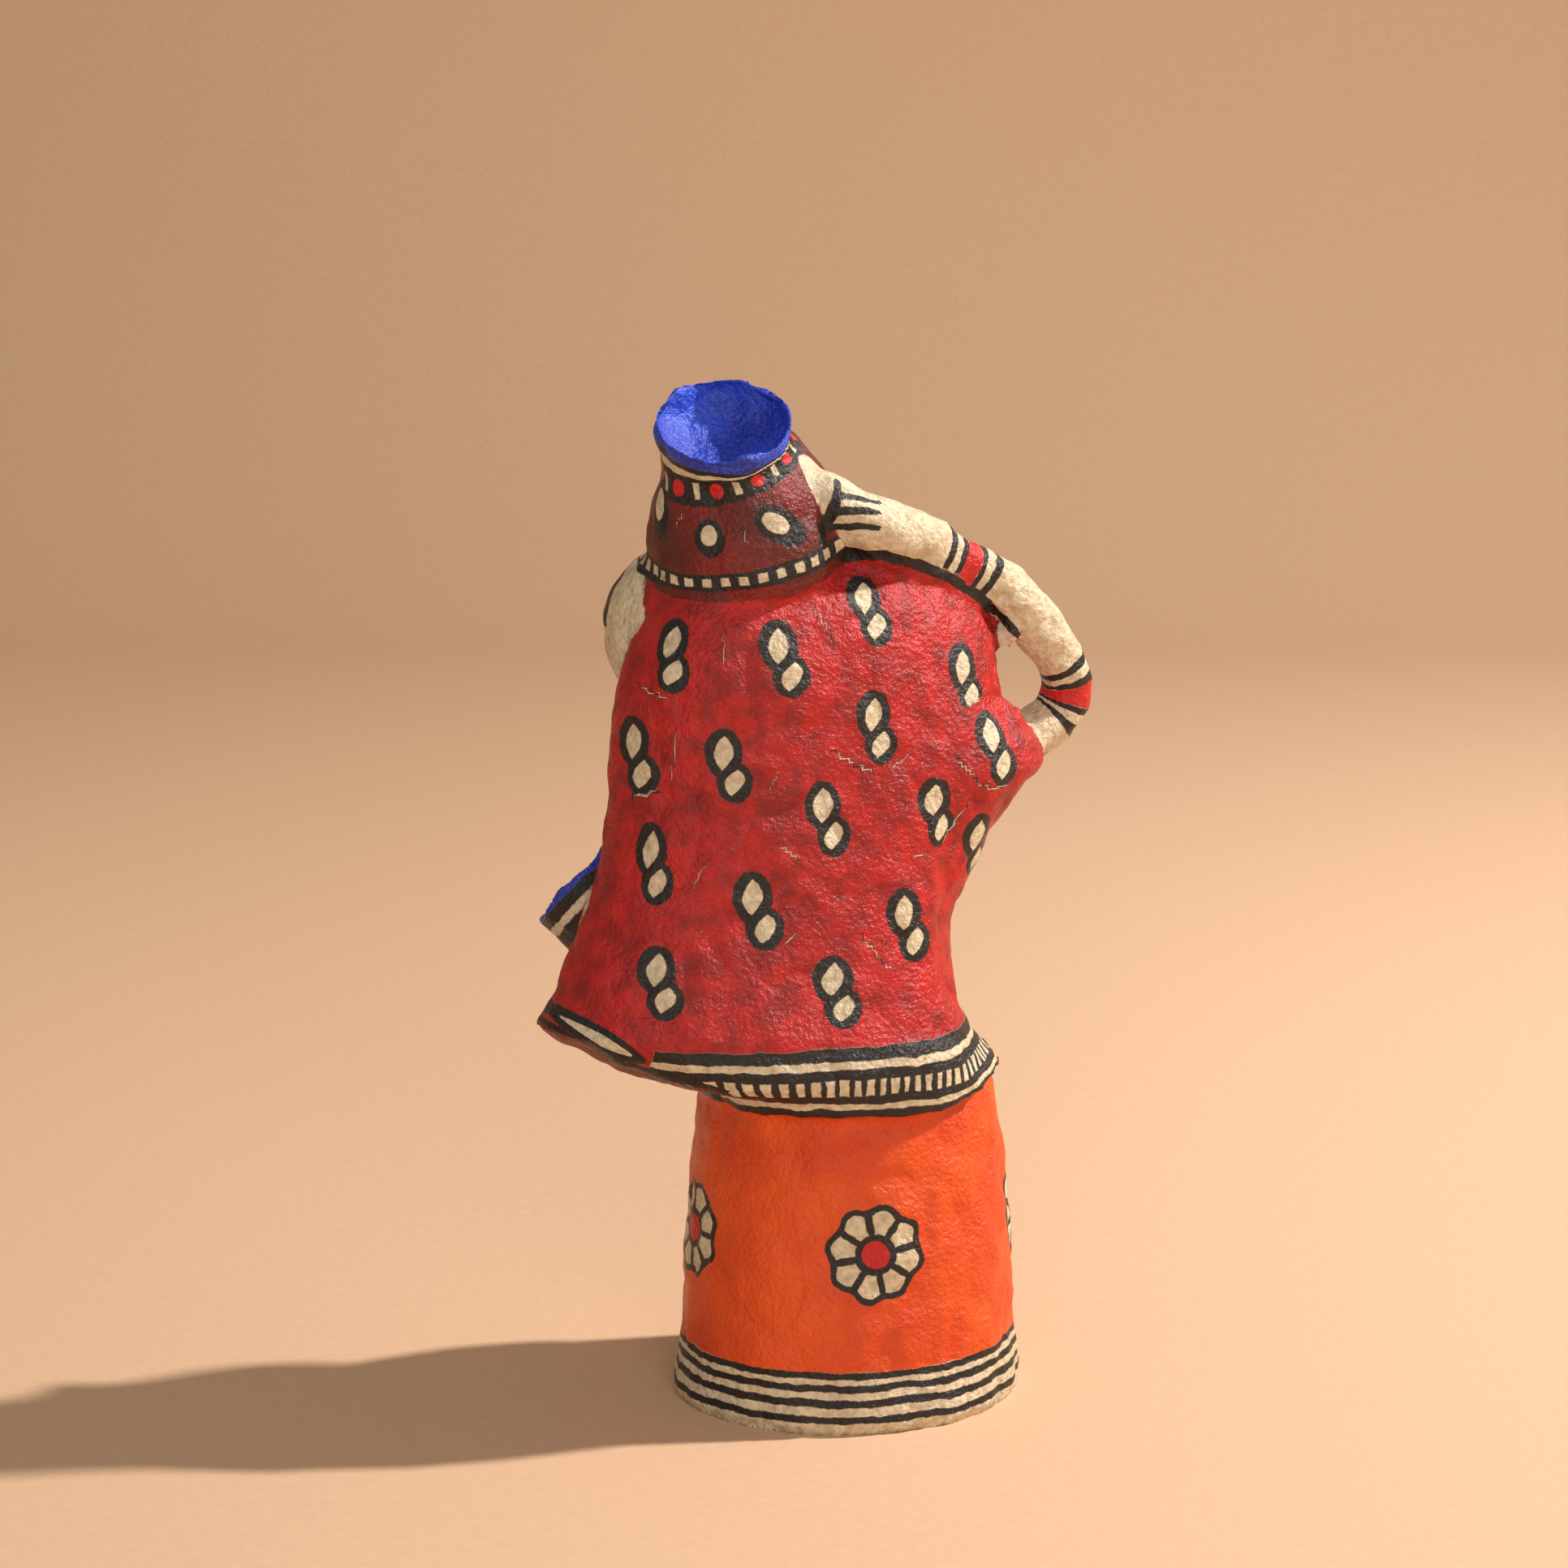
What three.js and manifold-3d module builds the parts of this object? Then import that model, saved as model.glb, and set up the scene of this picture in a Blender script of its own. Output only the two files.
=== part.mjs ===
// A papier-mache figure of a woman in a red veil. One raised hand steadies a water pot on her
// head, and the other arm holds a second pot on her hip. Paper pulp over paper, all one piece.
//
// Millimetres, +Z up. The origin is the middle of the flat underside of the skirt. She faces -Y,
// +X is her left side, and her back is towards +Y.
import * as THREE from "three";
import { mergeVertices } from "three/addons/utils/BufferGeometryUtils.js";
import Module from "manifold-3d";

const wasm = await Module();
wasm.setup();

const { Vector3 } = THREE;
const at = (x, y, z) => new Vector3(x, y, z);
const degrees = THREE.MathUtils.degToRad;

// ---- Driving dimensions ---------------------------------------------------------------------

const ROUND_SEGMENTS = 48; // sides of the skirt and of the veiled body
const TORSO_SEGMENTS = 28;
const LIMB_SEGMENTS = 14; // sides of an arm
const POT_SEGMENTS = 30;

// The skirt: height against half width and half depth. Its foot turns out a little.
const SKIRT = {
  halfWidth: [[0, 52.8], [2.5, 53.6], [14, 51.8], [51, 49.8], [84, 46], [93, 44.8], [100, 42.6], [106, 38]],
  halfDepth: [[0, 48.4], [2.5, 49.2], [14, 47.8], [51, 46.4], [84, 44.4], [93, 43.6], [100, 41.6], [106, 37]],
  levels: [0, 2.5, 8, 20, 36, 51, 68, 84, 93, 100, 106],
};

// The veiled body: how far it reaches to each side of the middle, against height. The veil hangs
// straight down her left side, stands out over the arm that holds the pot, and turns in under.
const BODY = {
  left: [
    [93.5, 46.6], [96.5, 47.6], [98.6, 50], [101, 61], [104.4, 73], [109, 82.5], [114, 90.5], [118.5, 97.5],
    [124, 93.5], [131, 91.5], [138, 88.5], [144, 85.5], [150, 82.5], [157, 80], [164, 78],
    [172, 76.2], [190, 74.5], [210, 73.6], [220, 71.5], [228, 68], [235, 64.5], [242, 60.5],
    [248, 56.5], [256, 48],
  ],
  right: [
    [93.5, 44.2], [96, 42.8], [100, 40.6], [104, 38], [108, 35.8], [112, 34], [118, 31], [130, 28.6],
    [141, 28.6], [150, 31.4], [160, 37.4], [170, 43.2], [179, 50.6], [186, 58.6], [189, 60.8],
    [196, 57.5], [203, 52], [208, 46.5], [223, 44.4], [231, 42], [238, 37], [244, 30.5],
    [250, 20], [256, 6],
  ],
  back: [
    [93.5, 46.2], [98, 47.6], [104, 48.6], [110, 48], [118, 45.4], [135, 41], [150, 38.5],
    [170, 36.5], [200, 34.5], [220, 33], [233, 31], [242, 27.5], [256, 19],
  ],
  front: [
    [93.5, 45.6], [98, 46], [109, 44.5], [113, 42], [116, 34], [127, 27], [145, 22], [165, 20],
    [182, 19], [194, 17], [206, 14], [256, 12],
  ],
  middle: [[93.5, 0], [112, 4], [140, 5], [180, 8], [205, 14], [225, 26], [256, 32]],
  levels: [
    93.5, 96.5, 98.6, 101, 104.4, 109, 113, 116, 119, 126, 135, 144, 152, 160, 169, 178, 185, 189,
    196, 203, 208, 216, 224, 231, 238, 244, 250, 256,
  ],
  backRoundness: 2.35, // 2 is an ellipse, and more is squarer
  frontRoundness: [[93.5, 2.2], [104, 1.9], [120, 1.7], [150, 1.6], [190, 1.7], [256, 1.8]],
};

// The hem rises over her right hip: how far at the side, where it starts, and how high it is felt.
const HEM_RISE = { rise: 8, from: -12, to: -46, top: 118 };

// Her own body shows in front between the edges of the veil: height against half width, half
// depth, and how far its middle is to her left and in front.
const TORSO = {
  halfWidth: [[84, 36], [110, 34], [134, 27], [160, 32], [178, 36], [188, 34], [197, 24], [206, 13]],
  halfDepth: [[84, 30], [110, 29], [134, 22], [160, 27], [170, 27], [186, 21], [197, 15], [206, 11]],
  aside: [[84, 0], [120, 2], [160, 6], [188, 12], [206, 24]],
  ahead: [[84, 8], [120, 10], [134, 8], [165, 9], [190, 7], [206, 7]],
  levels: [84, 96, 108, 121, 134, 146, 157, 168, 178, 186, 192, 199, 206],
};

// The fold in the veil beside her right hip, where the cloth comes in from the shoulder.
const HIP_FOLD = { x: -21, width: 5.5, depth: 3.6, low: 122, high: 196 };

// The pots: distance below the lip against radius, and a middle line that may bend.
const HEAD_POT = {
  profile: [
    [0, 19.4], [1.5, 20.4], [6, 20], [10, 19.2], [14, 20.6], [20, 24], [31, 28.4], [41, 30.6],
    [46, 31], [50, 27.5],
  ],
  line: [
    at(43.6, 15.2, 292.8), at(41.8, 10.4, 285), at(37, 6, 273), at(32.8, 2.5, 260),
    at(30, 0, 248), at(28.8, -1.5, 242),
  ],
  bowl: { radius: 18, depth: 12.5, steps: 7 },
};
const HIP_POT = {
  profile: [
    [0, 17.6], [1.5, 18.8], [5, 18.4], [9, 17.8], [14, 19], [22, 23], [30, 25.2], [38, 24],
    [44, 19], [49, 11],
  ],
  line: [
    at(75.5, -27, 156), at(70, -23.4, 150), at(62.4, -19, 142.6), at(57, -16, 133),
    at(53, -14, 122), at(51, -13, 112),
  ],
  bowl: { radius: 15, depth: 13, steps: 6 },
};

// The head is turned to her left. Its sizes are half lengths along the gaze, across and up.
// Its features are swellings and hollows of the front: [across, up, width, height, forward].
const HEAD = {
  centre: at(46, -12, 229),
  turn: 25,
  along: 25.5,
  across: 24,
  up: 27.5,
  taper: 0.2, // how much narrower the chin is than the crown
  segments: 40,
  levels: 24,
  features: [
    [0, 5, 15, 4, 1.3], // brow
    [8.6, 0.5, 5, 3.6, -1.7], // eye sockets
    [-8.6, 0.5, 5, 3.6, -1.7],
    [0, 1, 2.6, 5, 2.6], // bridge of the nose
    [0, -4.5, 3, 4.5, 4.2],
    [0, -8.6, 4, 3, 3.4], // tip of the nose
    [0, -15.4, 6, 1.9, 2.5], // lips
    [0, -19, 6, 1.7, -0.6],
    [0, -24.5, 7, 3.6, 3.2], // chin
    [12, -8, 7, 6, 1], // cheeks
    [-12, -8, 7, 6, 1],
  ],
};
const HOOD = { centre: at(40, -4.5, 233), halves: [26, 26.5, 28] }; // the veil over her hair
const NECK = [at(20, -7, 186), at(31, -9.5, 199), at(42, -12, 212)];
const NECK_RADIUS = 14;

// The raised right arm, from the finger ends on the pot to the shoulder, with its radius.
const RIGHT_ARM = [
  [at(22, 18.5, 277), 5.2], [at(13.5, 21.5, 269), 7.4], [at(4, 21.5, 262.8), 9], [at(-9, 18.5, 258.4), 9],
  [at(-26, 12, 251), 7.8], [at(-41, 7.5, 242.8), 8.2], [at(-55, 3, 231), 8.8],
  [at(-65.5, 0, 219.5), 8.6], [at(-71, -2, 209), 8.2], [at(-68.5, -3.5, 199.5), 8.2],
  [at(-59, -4, 194), 8.8], [at(-45, -4, 191), 9.4], [at(-28, -4, 188), 10],
];

// The edge of the veil, caught under the raised forearm.
const CAUGHT_EDGE = [
  [at(6, 19.5, 254), 5], [at(-8, 18, 252), 6], [at(-20, 14.5, 247), 6], [at(-31, 10.5, 240.5), 5.6],
  [at(-39, 8, 233), 4.4],
];

// A scrap of paper that has torn loose at the veil's edge, in the loop of the arm.
const TORN_SCRAP = { centre: at(-46.6, 9, 226.2), halves: [3.4, 1.5, 5.2], turn: -24 };

// The left arm hangs from the shoulder under the veil and comes forward to hold the pot.
const LEFT_ARM = [
  [at(32, -9, 186), 11], [at(50, -11, 179), 10], [at(64, -10, 163), 8.6], [at(72, -6, 146), 8.2],
  [at(78, -4, 130), 8], [at(79, -10, 119), 7.8], [at(73, -26, 112.5), 7.4], [at(62, -38, 112), 7],
  [at(50, -42.5, 116), 6.8],
];
const LEFT_HAND = { centre: at(47, -42, 119), halves: [9.5, 4.6, 7.2], turn: -8 };

// ---- Ways of making a solid -----------------------------------------------------------------

/** A smooth curve through [where, value] pairs that never overshoots them. */
function through(stations) {
  const slopes = stations.slice(1).map(([w, v], i) => (v - stations[i][1]) / (w - stations[i][0]));
  const tangents = stations.map((_, i) => {
    const before = slopes[Math.max(i - 1, 0)];
    const after = slopes[Math.min(i, slopes.length - 1)];
    return before * after <= 0 ? 0 : (2 * before * after) / (before + after);
  });
  return (where) => {
    const last = stations.length - 2;
    const found = stations.findIndex(([w], i) => i > 0 && where <= w) - 1;
    const i = found < 0 ? (where <= stations[0][0] ? 0 : last) : found;
    const span = stations[i + 1][0] - stations[i][0];
    const t = THREE.MathUtils.clamp((where - stations[i][0]) / span, 0, 1);
    const [a, b] = [stations[i][1], stations[i + 1][1]];
    const [p, q] = [tangents[i] * span, tangents[i + 1] * span];
    return (
      a * (2 * t ** 3 - 3 * t ** 2 + 1) + p * (t ** 3 - 2 * t ** 2 + t) +
      b * (3 * t ** 2 - 2 * t ** 3) + q * (t ** 3 - t ** 2)
    );
  };
}

/** A closed geometry as a solid that can be joined and cut. */
function solidOf(geometry) {
  const bare = new THREE.BufferGeometry().setAttribute("position", geometry.getAttribute("position"));
  bare.setIndex(geometry.getIndex());
  const merged = mergeVertices(bare, 1e-3);
  return new wasm.Manifold(
    new wasm.Mesh({
      numProp: 3,
      vertProperties: merged.attributes.position.array,
      triVerts: new Uint32Array(merged.index.array),
    }),
  );
}

/** The solid inside a stack of closed rings, each turning anticlockwise seen from the next. */
function solidOfRings(rings) {
  const sides = rings[0].length;
  const points = rings.flat();
  const middleOf = (ring) =>
    ring.reduce((sum, p) => sum.add(p), new Vector3()).divideScalar(ring.length);
  const first = points.push(middleOf(rings[0])) - 1;
  const last = points.push(middleOf(rings.at(-1))) - 1;
  const top = (rings.length - 1) * sides;
  const faces = [];
  for (let side = 0; side < sides; side++) {
    const next = (side + 1) % sides;
    for (let low = 0; low < top; low += sides) {
      const high = low + sides;
      faces.push(low + side, low + next, high + next, low + side, high + next, high + side);
    }
    faces.push(first, next, side, last, top + side, top + next);
  }
  const geometry = new THREE.BufferGeometry().setFromPoints(points);
  geometry.setIndex(faces);
  return solidOf(geometry);
}

/** Rings square to a smooth line through the given points. Ends may be rounded off. */
function ringsAlong(line, radiusAt, sides, steps, ends = 0) {
  const curve = new THREE.CatmullRomCurve3(line);
  const frames = curve.computeFrenetFrames(steps, false);
  const length = curve.getLength();
  return Array.from({ length: steps + 1 }, (_, i) => {
    const along = i / steps;
    const centre = curve.getPointAt(along);
    const fromEnd = Math.min(along, 1 - along) * length;
    const rounding = fromEnd < ends ? Math.sqrt(Math.max(1 - (1 - fromEnd / ends) ** 2, 0.06)) : 1;
    const radius = radiusAt(along, length) * rounding;
    return Array.from({ length: sides }, (_, side) => {
      const angle = (side / sides) * 2 * Math.PI;
      return centre
        .clone()
        .addScaledVector(frames.normals[i], Math.cos(angle) * radius)
        .addScaledVector(frames.binormals[i], Math.sin(angle) * radius);
    });
  });
}

/** A limb with round ends through [place, radius] pairs. */
function limb(joints, steps) {
  const radii = through(joints.map(([, radius], i) => [i / (joints.length - 1), radius]));
  const curve = new THREE.CatmullRomCurve3(joints.map(([place]) => place));
  const radiusAt = (along) => radii(curve.getUtoTmapping(along));
  const end = joints[0][1];
  return solidOfRings(ringsAlong(joints.map(([place]) => place), radiusAt, LIMB_SEGMENTS, steps, end));
}

/** An ellipsoid of the given half lengths, turned about the vertical. */
function lump(centre, halves, turn, detail) {
  const geometry = new THREE.SphereGeometry(1, detail, Math.round(detail * 0.65));
  geometry.scale(...halves);
  geometry.rotateZ(degrees(turn));
  geometry.translate(centre.x, centre.y, centre.z);
  return solidOf(geometry);
}

// ---- The parts of the figure ----------------------------------------------------------------

/** A section through the skirt at one height. */
function skirtRing(height) {
  const halfWidth = through(SKIRT.halfWidth)(height);
  const halfDepth = through(SKIRT.halfDepth)(height);
  return Array.from({ length: ROUND_SEGMENTS }, (_, side) => {
    const angle = (side / ROUND_SEGMENTS) * 2 * Math.PI;
    return at(halfWidth * Math.cos(angle), halfDepth * Math.sin(angle), height);
  });
}

/** A section through the veiled body: four quarters that share their ends, and the hip fold. */
function bodyRing(height) {
  const [left, right, back, front, middle, frontRoundness] = [
    BODY.left, BODY.right, BODY.back, BODY.front, BODY.middle, BODY.frontRoundness,
  ].map((stations) => through(stations)(height));
  const foldShare = Math.sin(
    Math.PI * THREE.MathUtils.clamp((height - HIP_FOLD.low) / (HIP_FOLD.high - HIP_FOLD.low), 0, 1),
  );
  return Array.from({ length: ROUND_SEGMENTS }, (_, side) => {
    const angle = (side / ROUND_SEGMENTS) * 2 * Math.PI;
    const [c, s] = [Math.cos(angle), Math.sin(angle)];
    const roundness = s >= 0 ? BODY.backRoundness : frontRoundness;
    const reach = (Math.abs(c) ** roundness + Math.abs(s) ** roundness) ** (-1 / roundness);
    const x = middle + c * reach * (c >= 0 ? left - middle : right + middle);
    let y = s * reach * (s >= 0 ? back : front);
    if (s > 0) {
      y -= foldShare * HIP_FOLD.depth * Math.exp(-(((x - HIP_FOLD.x) / HIP_FOLD.width) ** 2));
    }
    const hipward = THREE.MathUtils.smoothstep(HEM_RISE.from - x, 0, HEM_RISE.from - HEM_RISE.to);
    const fading = Math.max(HEM_RISE.top - height, 0) / (HEM_RISE.top - BODY.levels[0]);
    return at(x, y, height + HEM_RISE.rise * hipward * fading);
  });
}

/** A section through her own body at one height. */
function torsoRing(height) {
  const [halfWidth, halfDepth, aside, ahead] = [
    TORSO.halfWidth, TORSO.halfDepth, TORSO.aside, TORSO.ahead,
  ].map((stations) => through(stations)(height));
  return Array.from({ length: TORSO_SEGMENTS }, (_, side) => {
    const angle = (side / TORSO_SEGMENTS) * 2 * Math.PI;
    return at(aside + halfWidth * Math.cos(angle), -ahead + halfDepth * Math.sin(angle), height);
  });
}

/** A pot: its wall from the bottom up to the lip, and then the shallow bowl in its mouth. */
function pot({ line, profile, bowl }) {
  const radius = through(profile);
  const upward = [...line].reverse();
  const wall = ringsAlong(upward, (along, length) => radius((1 - along) * length), POT_SEGMENTS, 13);
  const inward = line[1].clone().sub(line[0]).normalize();
  const lip = wall.at(-1);
  const hollow = Array.from({ length: bowl.steps }, (_, i) => {
    const angle = (1 - i / bowl.steps) * (Math.PI / 2);
    return lip.map((point) =>
      line[0]
        .clone()
        .lerp(point, (bowl.radius * Math.sin(angle)) / profile[0][1])
        .addScaledVector(inward, bowl.depth * Math.cos(angle)),
    );
  });
  return solidOfRings([...wall, ...hollow]);
}

/** The head: an egg with its features in front, looking along -Y before it is turned. */
function head() {
  const { centre, turn, along, across, up, taper, segments, levels, features } = HEAD;
  const rings = Array.from({ length: levels }, (_, level) => {
    const height = -Math.cos(((level + 0.6) / (levels + 0.2)) * Math.PI);
    const girth = Math.sqrt(1 - height ** 2) * (height < 0 ? 1 - taper * height ** 2 : 1);
    return Array.from({ length: segments }, (_, side) => {
      const even = (side / segments) * 2 * Math.PI;
      const angle = even + 0.45 * Math.sin(even); // closer together at the front
      const aside = -Math.sin(angle) * girth * across;
      const ahead = -Math.cos(angle) * girth * along;
      const swelling = features.reduce((sum, [x, z, width, tall, forward]) => {
        const away = ((aside - x) / width) ** 2 + ((height * up - z) / tall) ** 2;
        return sum + forward * Math.exp(-away);
      }, 0);
      return at(aside, ahead > 0 ? ahead + swelling : ahead, height * up);
    });
  });
  const turned = ({ x, y, z }) => at(x, -y, z).applyAxisAngle(at(0, 0, 1), degrees(turn)).add(centre);
  return solidOfRings(rings.map((ring) => ring.map(turned)));
}

const heap = [
  solidOfRings(SKIRT.levels.map(skirtRing)),
  solidOfRings(BODY.levels.map(bodyRing)),
  solidOfRings(TORSO.levels.map(torsoRing)),
  pot(HEAD_POT),
  pot(HIP_POT),
  head(),
  lump(HOOD.centre, HOOD.halves, HEAD.turn, 24),
  limb(NECK.map((place) => [place, NECK_RADIUS]), 6),
  limb(RIGHT_ARM, 26),
  limb(CAUGHT_EDGE, 12),
  lump(TORN_SCRAP.centre, TORN_SCRAP.halves, TORN_SCRAP.turn, 10),
  limb(LEFT_ARM, 22),
  lump(LEFT_HAND.centre, LEFT_HAND.halves, LEFT_HAND.turn, 14),
];
const figure = wasm.Manifold.union(heap);

/** The joined solid as a geometry again. */
function geometryOf(solid) {
  const mesh = solid.getMesh();
  const positions = Float32Array.from({ length: mesh.numVert * 3 }, (_, i) =>
    mesh.vertProperties[Math.floor(i / 3) * mesh.numProp + (i % 3)],
  );
  const geometry = new THREE.BufferGeometry();
  geometry.setAttribute("position", new THREE.BufferAttribute(positions, 3));
  geometry.setIndex(new THREE.BufferAttribute(mesh.triVerts, 1));
  geometry.computeVertexNormals();
  return geometry;
}

const painted = new THREE.MeshStandardMaterial({ color: 0xa3110c, roughness: 0.45, metalness: 0 });
const mesh = new THREE.Mesh(geometryOf(figure), painted);
mesh.name = "figure";

const group = new THREE.Group();
group.add(mesh);

export default group;
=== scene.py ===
"""A papier-mache figure of a woman in a red veil, steadying a water pot on her head and holding a
second pot on her hip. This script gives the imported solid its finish: a fine surface of pressed
paper pulp, hand-painted colours with black brush outlines, and a patchy varnish.
"""

import math
import random

import bpy
import numpy as np
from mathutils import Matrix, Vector, noise
from mathutils.bvhtree import BVHTree


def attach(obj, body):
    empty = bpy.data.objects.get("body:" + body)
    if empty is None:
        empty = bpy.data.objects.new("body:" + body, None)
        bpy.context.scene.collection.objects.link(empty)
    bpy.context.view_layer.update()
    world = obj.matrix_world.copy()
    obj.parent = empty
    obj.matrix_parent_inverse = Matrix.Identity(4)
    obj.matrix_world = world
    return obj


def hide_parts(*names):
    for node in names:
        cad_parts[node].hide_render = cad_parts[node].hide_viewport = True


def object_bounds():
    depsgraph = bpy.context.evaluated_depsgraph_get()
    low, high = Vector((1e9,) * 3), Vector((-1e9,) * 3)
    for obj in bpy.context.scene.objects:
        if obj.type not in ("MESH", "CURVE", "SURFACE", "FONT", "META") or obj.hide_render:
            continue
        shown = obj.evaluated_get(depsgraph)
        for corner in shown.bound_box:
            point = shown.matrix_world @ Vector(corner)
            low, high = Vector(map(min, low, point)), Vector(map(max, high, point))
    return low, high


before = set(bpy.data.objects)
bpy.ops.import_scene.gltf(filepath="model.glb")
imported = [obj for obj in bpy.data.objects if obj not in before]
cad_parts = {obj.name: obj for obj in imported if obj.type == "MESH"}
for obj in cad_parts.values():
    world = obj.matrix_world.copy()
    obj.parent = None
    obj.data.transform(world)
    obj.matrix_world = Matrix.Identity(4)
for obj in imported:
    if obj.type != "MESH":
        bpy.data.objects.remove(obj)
solid_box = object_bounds()

MM = 0.001

# ---- The forms of the solid, in millimetres ---------------------------------------------------
# The same named sizes as the solid's, as far as the painter needs them to find each form.

HEM_LOW, HEM_HIGH = 93.5, 118  # between these heights the hem rises over her right hip
HEM_RISE = 8
HEM_RISE_FROM, HEM_RISE_TO = -12, -46

TORSO_HALF_WIDTH = [(84, 36), (110, 34), (134, 27), (160, 32), (178, 36), (188, 34), (197, 24), (206, 13)]
TORSO_HALF_DEPTH = [(84, 30), (110, 29), (134, 22), (160, 27), (170, 27), (186, 21), (197, 15), (206, 11)]
TORSO_ASIDE = [(84, 0), (120, 2), (160, 6), (188, 12), (206, 24)]
TORSO_AHEAD = [(84, 8), (120, 10), (134, 8), (165, 9), (190, 7), (206, 7)]

HEAD_POT_LINE = [(43.6, 15.2, 292.8), (41.8, 10.4, 285), (37, 6, 273), (32.8, 2.5, 260), (30, 0, 248),
                 (28.8, -1.5, 242)]
HEAD_POT_RADIUS = [(0, 19.4), (1.5, 20.4), (6, 20), (10, 19.2), (14, 20.6), (20, 24), (31, 28.4), (41, 30.6),
                   (46, 31), (50, 27.5)]
HIP_POT_LINE = [(75.5, -27, 156), (70, -23.4, 150), (62.4, -19, 142.6), (57, -16, 133), (53, -14, 122),
                (51, -13, 112)]
HIP_POT_RADIUS = [(0, 17.6), (1.5, 18.8), (5, 18.4), (9, 17.8), (14, 19), (22, 23), (30, 25.2), (38, 24),
                  (44, 19), (49, 11)]

HEAD_MIDDLE, HEAD_HALVES, HEAD_TURN = (46, -12, 229), (24, 25.5, 27.5), 25
HOOD_MIDDLE, HOOD_HALVES = (40, -4.5, 233), (26.5, 26, 28)
NECK = [((20, -7, 186), 14), ((31, -9.5, 199), 14), ((42, -12, 212), 14)]
RIGHT_ARM = [((22, 18.5, 277), 5.2), ((13.5, 21.5, 269), 7.4), ((4, 21.5, 262.8), 9),
             ((-9, 18.5, 258.4), 9), ((-26, 12, 251), 7.8), ((-41, 7.5, 242.8), 8.2),
             ((-55, 3, 231), 8.8), ((-65.5, 0, 219.5), 8.6), ((-71, -2, 209), 8.2),
             ((-68.5, -3.5, 199.5), 8.2), ((-59, -4, 194), 8.8), ((-45, -4, 191), 9.4), ((-28, -4, 188), 10)]
LEFT_ARM = [((32, -9, 186), 11), ((50, -11, 179), 10), ((64, -10, 163), 8.6), ((72, -6, 146), 8.2),
            ((78, -4, 130), 8), ((79, -10, 119), 7.8), ((73, -26, 112.5), 7.4), ((62, -38, 112), 7),
            ((50, -42.5, 116), 6.8)]
# The lower edge of the veil where it stands out over the left arm: height against reach.
LOBE_EDGE = [(44, 96), (50, 98.6), (61, 101), (73, 104.4), (82.5, 109), (90.5, 114), (97.5, 118.5)]
LEFT_HAND_MIDDLE, LEFT_HAND_HALVES, LEFT_HAND_TURN = (47, -42, 119), (9.5, 4.6, 7.2), -8
TORN_SCRAP_MIDDLE, TORN_SCRAP_HALVES, TORN_SCRAP_TURN = (-46.6, 9, 226.2), (3.4, 1.5, 5.2), -24

# ---- The fine surface -------------------------------------------------------------------------

PULP_STEP = 1.28 * MM  # spacing of the fine mesh
PULP_SMOOTHING = 5
PULP_LUMPS = [(26, 0.6), (12, 0.6), (6, 0.5), (3, 0.2)]  # how wide and how high the lumps are
PULP_SINK = 0.35  # the share of a lump's height that lies below the solid's surface
CREASE_SIZE, CREASE_DEPTH, CREASE_SPREAD = 15, 0.7, 0.4  # the wandering folds left by damp paper
RIM_SIZE, RIM_HEIGHT, RIM_REACH = 9, 2.4, 8  # how unevenly the mouths of the pots are pinched
FOOT_SIZE, FOOT_HEIGHT, FOOT_REACH = 7, 0.8, 5
TORN_SIZE, TORN_HEIGHT = 3.4, 1.3  # the torn edge of the veil beside the loop of the arm
TORN_LOW, TORN_HIGH = (-53, -2, 202), (-40, 26, 238)
RIM_WALL, FOOT_SINK, UNDERSIDE = 2, 0.4, 0.5
LUMP_SHIFT, CREASE_SHIFT, RIM_SHIFT, FOOT_SHIFT, TORN_SHIFT = 7.3, 40.7, 21.9, 3.1, 11.3  # keep noises apart


def fine_copy(node, name):
    """The solid of a node again, in an even fine mesh with its creases softened."""
    piece = bpy.data.objects.new(name, node.data.copy())
    bpy.context.scene.collection.objects.link(piece)
    even = piece.modifiers.new("even", "REMESH")
    even.mode = "VOXEL"
    even.voxel_size = PULP_STEP
    soften = piece.modifiers.new("soften", "SMOOTH")
    soften.factor = 0.5
    soften.iterations = PULP_SMOOTHING
    bpy.context.view_layer.update()
    worked = bpy.data.meshes.new_from_object(piece.evaluated_get(bpy.context.evaluated_depsgraph_get()))
    piece.modifiers.clear()
    piece.data = worked
    worked.materials.clear()
    worked.name = name
    return piece


def corners_of(mesh):
    """The mesh's points, in millimetres, and their normals, as arrays."""
    places = np.zeros(len(mesh.vertices) * 3)
    mesh.vertices.foreach_get("co", places)
    normals = np.zeros(len(mesh.vertices) * 3)
    mesh.vertices.foreach_get("normal", normals)
    return places.reshape(-1, 3) / MM, normals.reshape(-1, 3)


def noise_at(places, size, shift=0.0):
    """Smooth noise of about -1 to 1, with lumps of the given size."""
    moved = places / size + shift
    return np.array([noise.noise(Vector(place)) for place in moved])


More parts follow.
